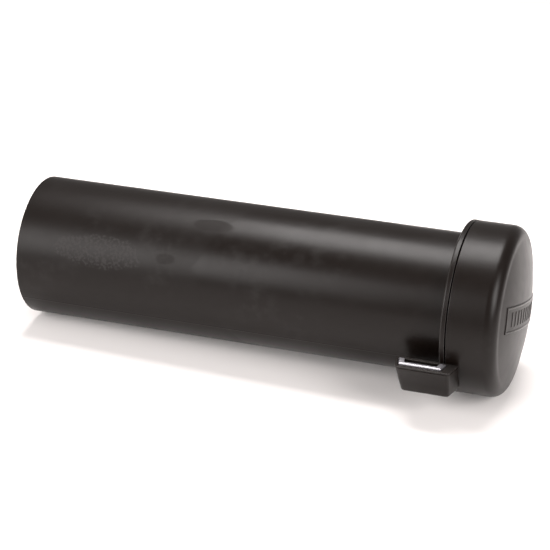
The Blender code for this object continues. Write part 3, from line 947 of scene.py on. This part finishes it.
@dataclass
class Cap:
    """The domed cover, the plug screwed inside it, its pad and the panel on its end."""

    wall: float = 0.0030
    depth: float = 0.0272
    fillet: float = 0.0073
    panel_length: float = 0.0670
    panel_height: float = 0.0148
    panel_turn: float = math.radians(-17)
    panel_thickness: float = 0.0012
    rib_count: int = 11
    rib_pitch: float = 0.0050
    rib_width: float = 0.0022
    rib_height: float = 0.0084
    plug_wall: float = 0.0035
    plate: float = 0.0020
    groove_width: float = 0.0020
    groove_depth: float = 0.0016
    boss_radius: float = 0.0040
    boss_root: float = 0.0019  # how far under the dome's face a boss ends, inside the wall
    screw_hole: float = 0.0014
    screw_count: int = 3
    sides: int = 288
    rim: float = field(default_factory=lambda: ends_of("cap_cover")[0])
    top: float = field(default_factory=lambda: ends_of("cap_cover")[1])
    radius: float = field(default_factory=lambda: true_radius("cap_cover"))

    @property
    def face_edge(self) -> float:
        """Return x of the end face's edge."""
        return self.rim + self.depth

    @property
    def dome_edge(self) -> float:
        """Return the radius at which the dome starts."""
        return self.radius - self.fillet

    def dome(self, radius: Array | float, inward: float = 0.0) -> Array:
        """Return x on the dome, which is part of a sphere through its edge and its top.

        Args:
            radius: the distance from the axis.
            inward: how far inside the outer surface the point lies.

        Returns:
            x of each point.
        """
        rise = self.top - self.face_edge
        sphere = (self.dome_edge**2 + rise**2) / (2 * rise)
        return self.top - sphere + np.sqrt((sphere - inward) ** 2 - np.asarray(radius) ** 2)

    def build(self) -> None:
        """Make and place every piece of the cap but its pocket."""
        self.make_cover()
        self.make_panel()
        self.make_plug()
        self.make_o_ring()
        self.make_screws()
        make_pad("cap_foam_pad", Body.CAP)

    def shell_outline(self, inward: float, rim_rounding: float) -> Array:
        """Return one side of the cover's wall, from its rim to the axis.

        Args:
            inward: how far inside the outer surface it lies.
            rim_rounding: the rounding at the rim.

        Returns:
            (x, radius) points.
        """
        side = self.radius - inward
        around = np.linspace(0.0, math.pi / 2, 13)
        corner = self.fillet - inward
        middle = (self.face_edge - self.fillet, side - corner)
        bend = np.stack([middle[0] + corner * np.sin(around), middle[1] + corner * np.cos(around)], 1)
        edge = self.dome_edge - 0.0012 * (1 + np.linspace(0.0, 0.5, 4)[1:-1])
        domed = np.concatenate([edge, np.linspace(self.dome_edge - 0.0022, 0.0, 26)])
        wall = [(self.rim, self.radius - self.wall / 2), (self.rim, side), tuple(bend[0])]
        start = filleted(wall, rim_rounding, 5, False)
        return np.concatenate([start[:-1], bend, np.stack([self.dome(domed, inward), domed], 1)])

    def make_cover(self) -> None:
        """Domed shell with a recess for the panel, and inside it a boss for each screw."""
        outside, inside = self.shell_outline(0.0, 0.0004), self.shell_outline(self.wall, 0.0003)
        outline = np.concatenate([outside[::-1], inside[1:]])
        patches = [turned(outline, even_turns(self.sides), loop=False)]
        recess = self.panel_patches(0.0001, self.panel_thickness + 0.0001, 0.004, plain=True)
        plate, tip = ends_of("plug_insert")[1], ends_of("plug_screw_1")[1]
        root = float(self.dome(self.screw_axes()[0][1], self.boss_root))
        changes = (
            ("DIFFERENCE", recess),
            ("UNION", self.rods(plate + SEAT, root, self.boss_radius)),
            ("DIFFERENCE", self.rods(plate - self.wall, tip + SEAT, self.screw_hole)),
        )
        finish_piece("cap_cover_look", patches, BLACK, Body.CAP, changes)

    def screw_axes(self) -> list[Array]:
        """Return y and z of each screw's axis."""
        boxes = [span(f"plug_screw_{number}") for number in range(1, self.screw_count + 1)]
        return [(low[1:] + high[1:]) / 2 for low, high in boxes]

    def rods(self, start: float, end: float, radius: float) -> list[Patch]:
        """Return a closed rod on each screw's axis, from one x to another."""
        outline = np.array([(start, 0.0), (start, radius), (end, radius), (end, 0.0)])
        return [turned(outline, even_turns(48), tuple(axis), loop=False) for axis in self.screw_axes()]

    def panel_patches(self, margin: float, below: float, above: float, plain: bool) -> list[Patch]:
        """Return the panel, or the plain shape that its recess is cut with.

        A raised border runs round the panel, with a row of equal upright ribs inside it. The height is the
        greater of the border's and the ribs', each eased up from the field. The outer edge is rounded down.

        Args:
            margin: how far the outline stands outside the panel's.
            below: how deep it goes under the dome.
            above: how far its face stands over the dome, or the border's height.
            plain: whether the face has no relief.

        Returns:
            The solid's patches.
        """
        long, tall = self.panel_length / 2 + margin, self.panel_height / 2 + margin
        across = np.linspace(-long, long, 16 if plain else 340)[:, None]
        up = np.linspace(-tall, tall, 8 if plain else 84)[None, :]
        across, up = across + 0 * up, up + 0 * across
        inside = np.minimum(long - np.abs(across), tall - np.abs(up))
        height = np.full_like(across, above)
        if not plain:
            pitch, half, tip, slope = self.rib_pitch, self.rib_width / 2, self.rib_height / 2, 0.0004
            border = ease(0.0, 0.00025, inside) * (1 - ease(0.0010, 0.0014, inside))
            off_rib = np.abs((across + pitch / 2) % pitch - pitch / 2)
            ribs = (1 - ease(half - slope, half, off_rib)) * (1 - ease(tip - slope, tip, np.abs(up)))
            ribs = ribs * (np.abs(across) < self.rib_count / 2 * pitch)
            edge = 0.0004 * (1 - ease(0.0, 0.0002, inside))
            height = 0.00004 + above * np.maximum(border, 0.75 * ribs) - edge
        turn = self.panel_turn
        y = across * math.cos(turn) - up * math.sin(turn)
        z = across * math.sin(turn) + up * math.cos(turn)
        dome = self.dome(np.hypot(y, z))
        face, back = (np.stack([level, y, z], -1) for level in (dome + height, dome - below))
        return slab(face, back, np.stack([across, up], -1), ease(0.0002, 0.0005, height))

    def make_panel(self) -> None:
        """Framed panel let into the end face."""
        patches = self.panel_patches(0.0, self.panel_thickness, 0.00042, plain=False)
        finish_piece("end_panel_look", patches, PANEL_BLACK, Body.CAP)

    def make_plug(self) -> None:
        """Plate and spigot, with a groove for the seal and a lead-in at the spigot's end."""
        start, back = ends_of("plug_insert")
        plate, rim = true_radius("plug_insert"), back - self.plate
        spigot = span("blanket_roll")[1][2] / FLAT_SHARE
        bore, floor = spigot - self.plug_wall, spigot - self.groove_depth
        middle = sum(ends_of("plug_o_ring")) / 2
        near, far = middle - self.groove_width / 2, middle + self.groove_width / 2
        rows = [(back, 0.0, 0.0001), (back, plate, 0.0004), (rim, plate, 0.0003), (rim, spigot, 0.0004)]
        rows += [(far, spigot, 0.0002), (far, floor, 0.0003), (near, floor, 0.0003), (near, spigot, 0.0002)]
        rows += [(start, spigot, 0.0009), (start, bore, 0.0005), (rim, bore, 0.0008), (rim, 0.0, 0.0001)]
        patch = turned(profile(rows, loop=False), even_turns(240), loop=False)
        holes = self.rods(start, back + self.wall, self.screw_hole)
        finish_piece("plug_insert_look", [patch], BLACK, Body.CAP, (("DIFFERENCE", holes),))

    def make_o_ring(self) -> None:
        """Round cord in the groove, with a faint moulding line round its outside.

        The line's height falls off as exp(-(angle / width)²) from the outermost point.
        """
        start, end = ends_of("plug_o_ring")
        outer, cord = true_radius("plug_o_ring"), (end - start) / 2
        around = even_turns(28)
        line = 0.00004 * np.exp(-((np.angle(np.exp(1j * around)) / 0.12) ** 2))
        x = (start + end) / 2 + cord * np.sin(around)
        outline = np.stack([x, outer - cord + (cord + line) * np.cos(around)], 1)
        finish_piece("plug_o_ring_look", [turned(outline, even_turns(192))], RUBBER, Body.SEAL)

    def make_screws(self) -> None:
        """Pan-head screws with a cross recess and a coarse thread.

        The thread adds its height times (2 frac(x / pitch - angle / 360°) - 1)². The recess is cut into the
        head's face wherever the nearer of two crossed lines is close.
        """
        turns = even_turns(40)
        shank, tip, pitch, crest = 0.0010, 0.0018, 0.0009, 0.0003
        for number, centre in enumerate(self.screw_axes(), 1):
            low, high = span(f"plug_screw_{number}")
            start, end, head = low[0], high[0], (high[2] - low[2]) / 2
            under = start + 0.0018
            rows = [(start, 0.0, 0.0001), (start, head, 0.0009), (under, head, 0.0002)]
            rows += [(under, shank, 0.0001), (end - tip, shank, 0.0004), (end, 0.0, 0.0001)]
            corners = profile(rows, loop=False)
            face = np.linspace(0.0, head - 0.0010, 14)[:, None]
            rod = np.linspace(under + 0.0003, end - tip - 0.0003, 60)[:, None]
            face, rod = np.hstack([0 * face + start, face]), np.hstack([rod, 0 * rod + shank])
            outline = np.concatenate([face, corners[1:19], rod, corners[-7:]])
            x, radius = outline[:, :1], outline[:, 1:]
            phase = (x / pitch - turns / (2 * math.pi)) % 1.0
            threaded = ease(under + 0.0002, under + 0.0009, x) * (1 - ease(end - 0.0016, end - 0.0002, x))
            swell = crest * threaded * np.abs(2 * phase - 1) ** 2
            arms = np.minimum(np.abs(radius * np.sin(turns)), np.abs(radius * np.cos(turns)))
            cross = (1 - ease(0.00022, 0.00036, arms)) * (1 - ease(0.0011, 0.0015, radius))
            shift = 0.0009 * cross * (x < under - 0.0008)
            patch = turned(outline, turns, tuple(centre), swell, shift, loop=False)
            finish_piece(f"plug_screw_{number}_look", [patch], ZINC, Body.CAP)


# --- bracket pocket ---


@dataclass
class Pocket:
    """The pocket on the cap's side and the steel liner in its mouth.

    In plan it is four-sided at every depth below its rim. Its front leans back and its ends draw together
    with depth, and the ends spread towards the canister. Its back follows a drum round the canister's axis.
    """

    front: float = 0.0296
    lean: float = math.radians(23)
    draft: float = math.radians(5)
    flare: float = math.radians(12.5)
    wall: float = 0.0022
    end_wall: float = 0.0032
    slot_width: float = 0.0074
    slot_off_middle: float = 0.0020
    sheet: float = 0.0008
    liner_depth: float = 0.0110
    liner_proud: float = 0.0008
    liner_bends: tuple[float, float] = (0.0012, 0.0004)
    front_lip: float = 0.0026
    side_lip: float = 0.0035
    front_corner: float = 0.0021
    back_corner: float = 0.0004
    slot_corner: float = 0.0008
    bottom_rounding: float = 0.0013
    rim_rounding: float = 0.0004
    low: Array = field(default_factory=lambda: span("bracket_pocket")[0])
    high: Array = field(default_factory=lambda: span("bracket_pocket")[1])
    drum: float = field(default_factory=lambda: true_radius("collar_ring") + SEAT)

    def build(self) -> None:
        """Make and place the pocket and its liner."""
        self.make_pocket()
        self.make_liner()

    def corners(
        self, depth: Array, front_inset: Array, end_inset: Array, back_y: Array, off: float = 0.0
    ) -> Array:
        """Return the four corners in plan, one set for each depth.

        Args:
            depth: below the rim.
            front_inset: how far the front is drawn back.
            end_inset: how far each end is drawn in.
            back_y: y of the back.
            off: how far the middle lies towards the closed end.

        Returns:
            rows × 4 × 2, from the back towards the closed end, round by the front.
        """
        middle = (self.low[0] + self.high[0]) / 2 - off
        plain_front = self.low[1] + depth * math.tan(self.lean)
        front_y = plain_front + front_inset
        half = self.front / 2 - depth * math.tan(self.draft) - end_inset
        plan = []
        for way, y in ((-1, back_y), (-1, front_y), (1, front_y), (1, back_y)):
            reach = half + (y - plain_front) * math.tan(self.flare)
            plan.append(np.stack([middle + way * reach, y], -1))
        return np.stack(plan, -2)

    def outer_rows(self, depth: Array, inset: Array) -> Array:
        """Return corners of the outside, whose back lies on the drum."""
        drum_y = -np.sqrt(self.drum**2 - (self.high[2] - depth) ** 2)
        return self.corners(depth, inset, inset, drum_y - inset)

    def slot_rows(self, depth: Array, front: Array, ends: Array, back: Array | float) -> Array:
        """Return corners of the slot, drawn in at its front, its two ends and its back."""
        back_y = self.low[1] + depth * math.tan(self.lean) + self.wall + self.slot_width - back
        return self.corners(depth, self.wall + front, self.end_wall + ends, back_y, self.slot_off_middle)

    def make_pocket(self) -> None:
        """One closed surface: the bottom, the outside with its lip, the rim, the slot and its floor."""
        tall = self.high[2] - self.low[2]
        quarter = np.linspace(0.0, math.pi / 2, 7)
        under, rim = self.bottom_rounding, self.rim_rounding
        lip = np.array([0.0022, 0.0017, 0.00155, 0.0012, 0.00105, 0.0008])
        lip_inset = np.array([0.0, 0.0, 0.00022, 0.00022, 0.0, 0.0])
        close, away = 1 - np.cos(quarter), 1 - np.sin(quarter)
        depth = np.concatenate([tall - under * close, [tall / 2], lip, rim * away])
        inset = np.concatenate([under * away, [0.0], lip_inset, rim * close])
        inner_depth = np.concatenate([rim * close, [tall / 3, tall - self.wall]])
        inner_inset = np.concatenate([-rim * away, [0.0, 0.0]])
        slot = self.slot_rows(inner_depth, inner_inset, inner_inset, inner_inset)
        rows = np.concatenate([self.outer_rows(depth, inset), slot])
        outer = len(depth)
        radii = np.full((len(rows), 4), self.slot_corner)
        corners = [self.back_corner, self.front_corner, self.front_corner, self.back_corner]
        radii[:outer] = np.maximum(corners - inset[:, None], 0.0002)
        levels = self.high[2] - np.concatenate([depth, inner_depth])
        points = closed_ends(raised(filleted(rows, radii, 8), levels))
        steps = np.linalg.norm(np.diff(points, axis=0), axis=-1).mean(1)
        flat = layout(np.concatenate([[0.0], np.cumsum(steps)]), run_length(points[outer // 2]))
        worn = np.zeros(points.shape[:2])
        # the rounded bottom edge and the rim are marked worn: polished and painted lighter, partly wear and
        # partly a painted highlight
        worn[1 : 1 + len(quarter)] = 0.5
        worn[outer - len(quarter) + 1 : outer + len(quarter) + 1] = 0.8
        finish_piece("bracket_pocket_look", [Patch(points, flat, worn)], BLACK, Body.CAP)

    def make_liner(self) -> None:
        """Sheet bent to a U in plan, with its top edge turned in to a lip.

        The section runs up the wall, round a quarter bend and along the lip, and its inner side is the same
        line moved by the sheet's thickness.
        """
        bend = np.linspace(0.0, math.pi / 2, 8)
        sides = []
        for thickness, rounding in zip((0.0, self.sheet), self.liner_bends):
            level = thickness - self.liner_proud
            bent = level + rounding * (1 - np.sin(bend))
            depth = np.concatenate([[self.liner_depth, 0.006], bent, [level, level]])
            up = SEAT + thickness + np.concatenate([[0.0, 0.0], rounding * (1 - np.cos(bend))])
            lips = (self.front_lip, self.side_lip)
            front, ends = (np.concatenate([up, [SEAT + lip - 0.0006, SEAT + lip]]) for lip in lips)
            rows = self.slot_rows(depth, front, ends, SEAT)
            radii = [0.0001, 0.0016, 0.0016, 0.0001] - np.minimum(front, 0.0012)[:, None] * [0, 1, 1, 0]
            sides.append(raised(filleted(rows, radii, 8, loop=False), self.high[2] - depth))
        outer, inner = sides
        flat = layout(run_length(outer[:, outer.shape[1] // 2]), run_length(outer[0]))
        piece = finish_piece("pocket_liner_look", slab(outer, inner, flat), STEEL, Body.CAP)
        bevel = piece.modifiers.new("broken_edges", "BEVEL")
        bevel.width, bevel.segments = 0.00012, 2
        bevel.limit_method, bevel.angle_limit = "ANGLE", CREASE
        piece.modifiers.move(1, 0)  # before the normals are evened


# --- blanket ---


@dataclass
class Blanket:
    """The glass-fibre blanket, folded lengthwise and rolled, with its two pull tapes and their tabs."""

    cloth: float = 1.2
    layers: int = 6
    thickness: float = 0.00028
    core: float = 0.0060
    slack: float = 0.0004
    end_margin: float = 0.0012
    loose_end: float = math.radians(250)
    steps_a_turn: int = 56
    tape_count: int = 2
    tape_thickness: float = 0.0011
    tape_layers: int = 7
    tape_margin: float = 0.0002
    tape_slack: float = 0.0007
    tab_corner: float = 0.0035

    def build(self) -> None:
        """Make and place the roll, then each tape and its tab."""
        self.make_roll()
        for number in range(1, self.tape_count + 1):
            self.make_tape(number)
            self.make_tab(number)

    def make_roll(self) -> None:
        """Cloth folded to and fro across its width, and rolled up along its length.

        The pitch p of the spiral makes its length come out right: p = (R² - c²) / (L / pi + R + c), where R
        is the roll's radius, c its core's and L the cloth's length. A layer's radius is c + p (turns + its
        place in the fold), and the folds are half circles as wide as two layers are apart. The edges are
        ragged and the last turn has a ripple, each a sum of waves.
        """
        start, end = ends_of("blanket_roll")
        outer = true_radius("blanket_roll") - self.slack
        pitch = (outer**2 - self.core**2) / (self.cloth / math.pi + outer + self.core)
        turn_count = (outer - self.core) / pitch - 1.0
        angle = np.linspace(0.0, 2 * math.pi * turn_count, round(turn_count * self.steps_a_turn))[None, :]
        gap = pitch / self.layers
        place, depth, outward = (numbers[:, None] for numbers in folds(self.layers, 12, 6))
        depth = depth + 0.5
        ragged = sum(
            size * np.sin(rate * angle + 1.3 * np.floor(depth) + phase)
            for size, rate, phase in ((0.00045, 0.61, 0.2), (0.00030, 1.73, 1.1), (0.00015, 4.1, 2.3))
        )
        width = end - start - 2 * self.end_margin
        side = np.sign(place) * ease(0.80, 1.0, np.abs(place))
        x = (start + end) / 2 + place / 2 * width + outward * gap + side * ragged
        last = ease(turn_count - 1.15, turn_count - 0.75, angle / (2 * math.pi))
        along = (x - start) / width
        ripple = sum(
            size * np.sin(rate * along + count * angle + phase) ** 2
            for size, rate, count, phase in (
                (0.00022, 9.0, 1.0, 0.3), (0.00016, 23.0, -3.0, 1.9),
                (0.00012, 5.0, 7.0, 0.7), (0.00008, 41.0, 5.0, 2.2),
            )
        )
        radius = self.core + pitch * angle / (2 * math.pi) + depth * gap + last * ripple
        turn = angle - 2 * math.pi * turn_count + self.loose_end
        points = np.stack([x + 0 * angle, -radius * np.sin(turn), -radius * np.cos(turn)], -1)
        across = run_length(points[:, 0])[:, None] + 0 * angle
        across = across * self.cloth / across.max()
        length = (self.core + pitch / 2) * angle + pitch * angle**2 / (4 * math.pi)
        flat = np.stack([length * self.cloth / length.max() + 0 * across, across], -1)
        piece = finish_piece("blanket_roll_look", [Patch(points, flat)], GLASS_CLOTH, Body.BLANKET)
        piece.modifiers.clear()
        solid = piece.modifiers.new("cloth_thickness", "SOLIDIFY")
        solid.thickness, solid.offset = self.thickness, 0.0

    def make_tape(self, number: int) -> None:
        """Webbing folded to and fro in a stack on the roll's end.

        Its middle line is straight runs joined by half circles, and its section is a flat bar with round
        edges carried along that line. The runs' reaches differ a little, by a sine of their number.
        """
        low, high = span(f"pull_tape_{number}")
        centre_z = (low[2] + high[2]) / 2
        half_wide = (high[2] - low[2]) / 2 - self.tape_margin
        pitch = (high[0] - low[0] - self.tape_thickness) / (self.tape_layers - 1)
        reach = (high[1] - low[1]) / 2 - pitch / 2 - self.tape_thickness / 2
        place, depth, outward = folds(self.tape_layers, 9, 9, 1 if number % 2 == 0 else -1)
        reach = reach - self.tape_slack * np.abs(np.sin(2.1 * np.floor(depth) + number))
        x = low[0] + self.tape_thickness / 2 + depth * pitch
        path = np.stack([x, place * reach + outward * pitch], 1)
        ahead = unit(np.gradient(path, axis=0))
        normal = np.stack([-ahead[:, 1], ahead[:, 0]], 1)
        half = self.tape_thickness / 2
        bar = filleted(BOX_SIGNS * (half, half_wide), half * 0.8, 4)
        plan = path[:, None, :] + normal[:, None, :] * bar[:, :1]
        z = np.broadcast_to(centre_z + bar[:, 1:], (*plan.shape[:2], 1))
        points = closed_ends(np.concatenate([plan, z], -1))
        distance = np.pad(run_length(path), 1, mode="edge")[:, None] + np.zeros(points.shape[:2])
        flat = np.stack([distance, points[..., 2] - low[2]], -1)
        piece = finish_piece(f"pull_tape_{number}_look", [Patch(points, flat)], WEBBING, Body.BLANKET)

    def make_tab(self, number: int) -> None:
        """Moulded tab with a raised rim and grip ribs.

        Each row is the tab's rounded rectangle drawn in by an inset, at a level. They run from the middle of
        its back, round its edge, over its rim and down into the field.
        """
        low, high = span(f"pull_tab_{number}")
        size = (high[1] - low[1], high[2] - low[2])
        centre = (low[1:] + high[1:]) / 2
        quarter = np.linspace(0.0, math.pi / 2, 5)
        soft, rim = 0.0006, 0.0020
        field_x, middle = high[0] - 0.0007, min(size) / 2 - 0.0004
        close, away = soft * (1 - np.cos(quarter)), soft * (1 - np.sin(quarter))
        rows = np.concatenate(
            [
                [(middle, low[0]), (rim, low[0])],
                np.stack([away, low[0] + close], 1),
                np.stack([close, high[0] - away], 1),
                [(rim, high[0]), (rim + 0.0004, high[0] - 0.0001), (rim + 0.0007, field_x)],
                [(rim + 0.0011, field_x - 0.0001), (middle, field_x - 0.0001)],
            ]
        )
        inset = rows[:, :1]
        radii = np.maximum(self.tab_corner - inset, 0.0002) + np.zeros(4)
        plan = filleted(BOX_SIGNS * (np.array(size) / 2 - inset[..., None]), radii, 6)
        points = closed_ends(np.roll(raised(plan + centre, rows[:, 1]), 1, -1))
        patches = [Patch(points, points[..., 1:] - low[1:])]
        for place in np.linspace(-0.30, 0.30, 5) * size[0]:
            patches.append(self.grip_rib(field_x, centre + (place, 0.0), size[1] * 0.5))
        finish_piece(f"pull_tab_{number}_look", patches, TAB_RED, Body.BLANKET)

    def grip_rib(self, level: float, centre: Array, length: float) -> Patch:
        """Return a low bar with round ends: each row is a circle's share, narrowed towards both ends.

        Args:
            level: x of the surface that it stands on.
            centre: y and z of its middle.
            length: from end to end.

        Returns:
            The rib, whose lower half is sunk in that surface.
        """
        along = np.sin(np.linspace(-math.pi / 2, math.pi / 2, 17))[:, None]
        around = even_turns(12)[None, :]
        half = 0.0006 * np.sqrt(np.clip(1 - np.abs(along) ** 8, 0.0, 1.0))
        z = centre[1] + length / 2 * along + 0 * around
        points = np.stack([level + half * np.cos(around), centre[0] + half * np.sin(around), z], -1)
        return Patch(points, points[..., 1:])


# --- floor, lights and camera ---


@dataclass(frozen=True)
class SoftBox:
    """A rectangular soft light.

    Attributes:
        label: the light's name.
        place: its middle, from the canister's closed end on the axis.
        aim: the point it faces, likewise.
        size: its two sides.
        strength: its surface's brightness, white paper in full light being 1.
        tint: its colour.
    """

    label: str
    place: Point
    aim: Point
    size: tuple[float, float]
    strength: float
    tint: Colour = (1.0, 0.97, 0.96)

    def build(self) -> None:
        """Add the light. Its power is its brightness times pi times its area."""
        light = bpy.data.lights.new(self.label, "AREA")
        light.shape, light.size, light.size_y = "RECTANGLE", *self.size
        light.energy = self.strength * math.pi * self.size[0] * self.size[1]
        light.color = self.tint
        lamp = add_object(self.label, light)
        lamp.location = Vector(AXIS_START) + Vector(self.place)
        lamp.rotation_mode = "QUATERNION"
        lamp.rotation_quaternion = (Vector(self.aim) - Vector(self.place)).to_track_quat("-Z", "Y")


@dataclass
class Studio:
    """The pale floor, the white room, the soft lights and the camera."""

    azimuth: float = math.radians(19.41)
    elevation: float = math.radians(25.03)
    roll: float = math.radians(-0.09)
    distance: float = 1.1764
    aim: Point = (0.14388, 0.0, 0.0014)
    lens: float = 135.06
    room: float = 0.3
    floor_size: float = 12.0
    boxes: tuple[SoftBox, ...] = (
        SoftBox("overhead_box", (0.14, 0.18, 0.78), (0.14, 0.0, 0.0), (0.60, 0.42), 13.0),
        SoftBox("front_left_box", (-0.46, -0.88, 0.52), (0.10, 0.0, 0.0), (0.66, 0.62), 8.8),
        SoftBox("right_box", (1.30, -0.55, 0.60), (0.20, -0.1, -0.04), (0.70, 0.70), 10.0),
    )

    def build(self) -> None:
        """Add everything that isn't the object."""
        self.make_floor()
        self.light_room()
        for box in self.boxes:
            box.build()
        self.make_camera()

    def make_floor(self) -> None:
        """Plane that touches the tube's far rim and the collar."""
        tube, collar = true_radius("tube_body"), true_radius("collar_ring")
        slope = (collar - tube) / ends_of("collar_ring")[1]
        half = self.floor_size / 2
        x, y = np.meshgrid([-half, half], [-half, half], indexing="ij")
        points = np.stack([x, y, -tube - 0.0002 - slope * x], -1)
        floor = add_object("floor", new_mesh("floor", [Patch(points, points[..., :2])]))
        graph = Graph("pale_floor")
        shade = graph.noise(graph.place(), size=0.4, detail=2.0)
        colour = graph.mixed(shade, (0.86, 0.832, 0.820), (0.87, 0.842, 0.830))
        graph.feed(graph.shader, {"Base Color": colour, "Roughness": 0.75, "Specular IOR Level": 0.2})
        graph.feed(graph.shader, {"Emission Color": colour, "Emission Strength": 0.08})
        floor.data.materials.append(graph.made)

    def light_room(self) -> None:
        """White room, seen in the plastic's gloss, and plain colours on screen."""
        world = bpy.data.worlds.new("white_room")
        world.use_nodes = True
        background = world.node_tree.nodes["Background"]
        background.inputs["Color"].default_value = (1.0, 0.96, 0.945, 1.0)
        background.inputs["Strength"].default_value = self.room
        bpy.context.scene.world = world
        bpy.context.scene.view_settings.view_transform = "Standard"

    def make_camera(self) -> None:
        """Camera that looks at the canister from the front right, a little above."""
        camera = bpy.data.cameras.new("camera")
        camera.lens, camera.sensor_width = self.lens, 36.0
        holder = add_object("camera", camera)
        level = math.cos(self.elevation)
        x, y = math.sin(self.azimuth) * level, -math.cos(self.azimuth) * level
        back = Vector((x, y, math.sin(self.elevation)))
        holder.location = Vector(AXIS_START) + Vector(self.aim) + back * self.distance
        holder.rotation_mode = "QUATERNION"
        holder.rotation_quaternion = (-back).to_track_quat("-Z", "Y") @ Quaternion((0.0, 0.0, 1.0), self.roll)
        bpy.context.scene.camera = holder


def main() -> None:
    """Build the object, then the studio round it."""
    logging.basicConfig(level=logging.INFO, format="%(message)s")
    for part in (Canister(), Cap(), Pocket(), Blanket(), Studio()):
        part.build()


if __name__ == "__main__":
    main()
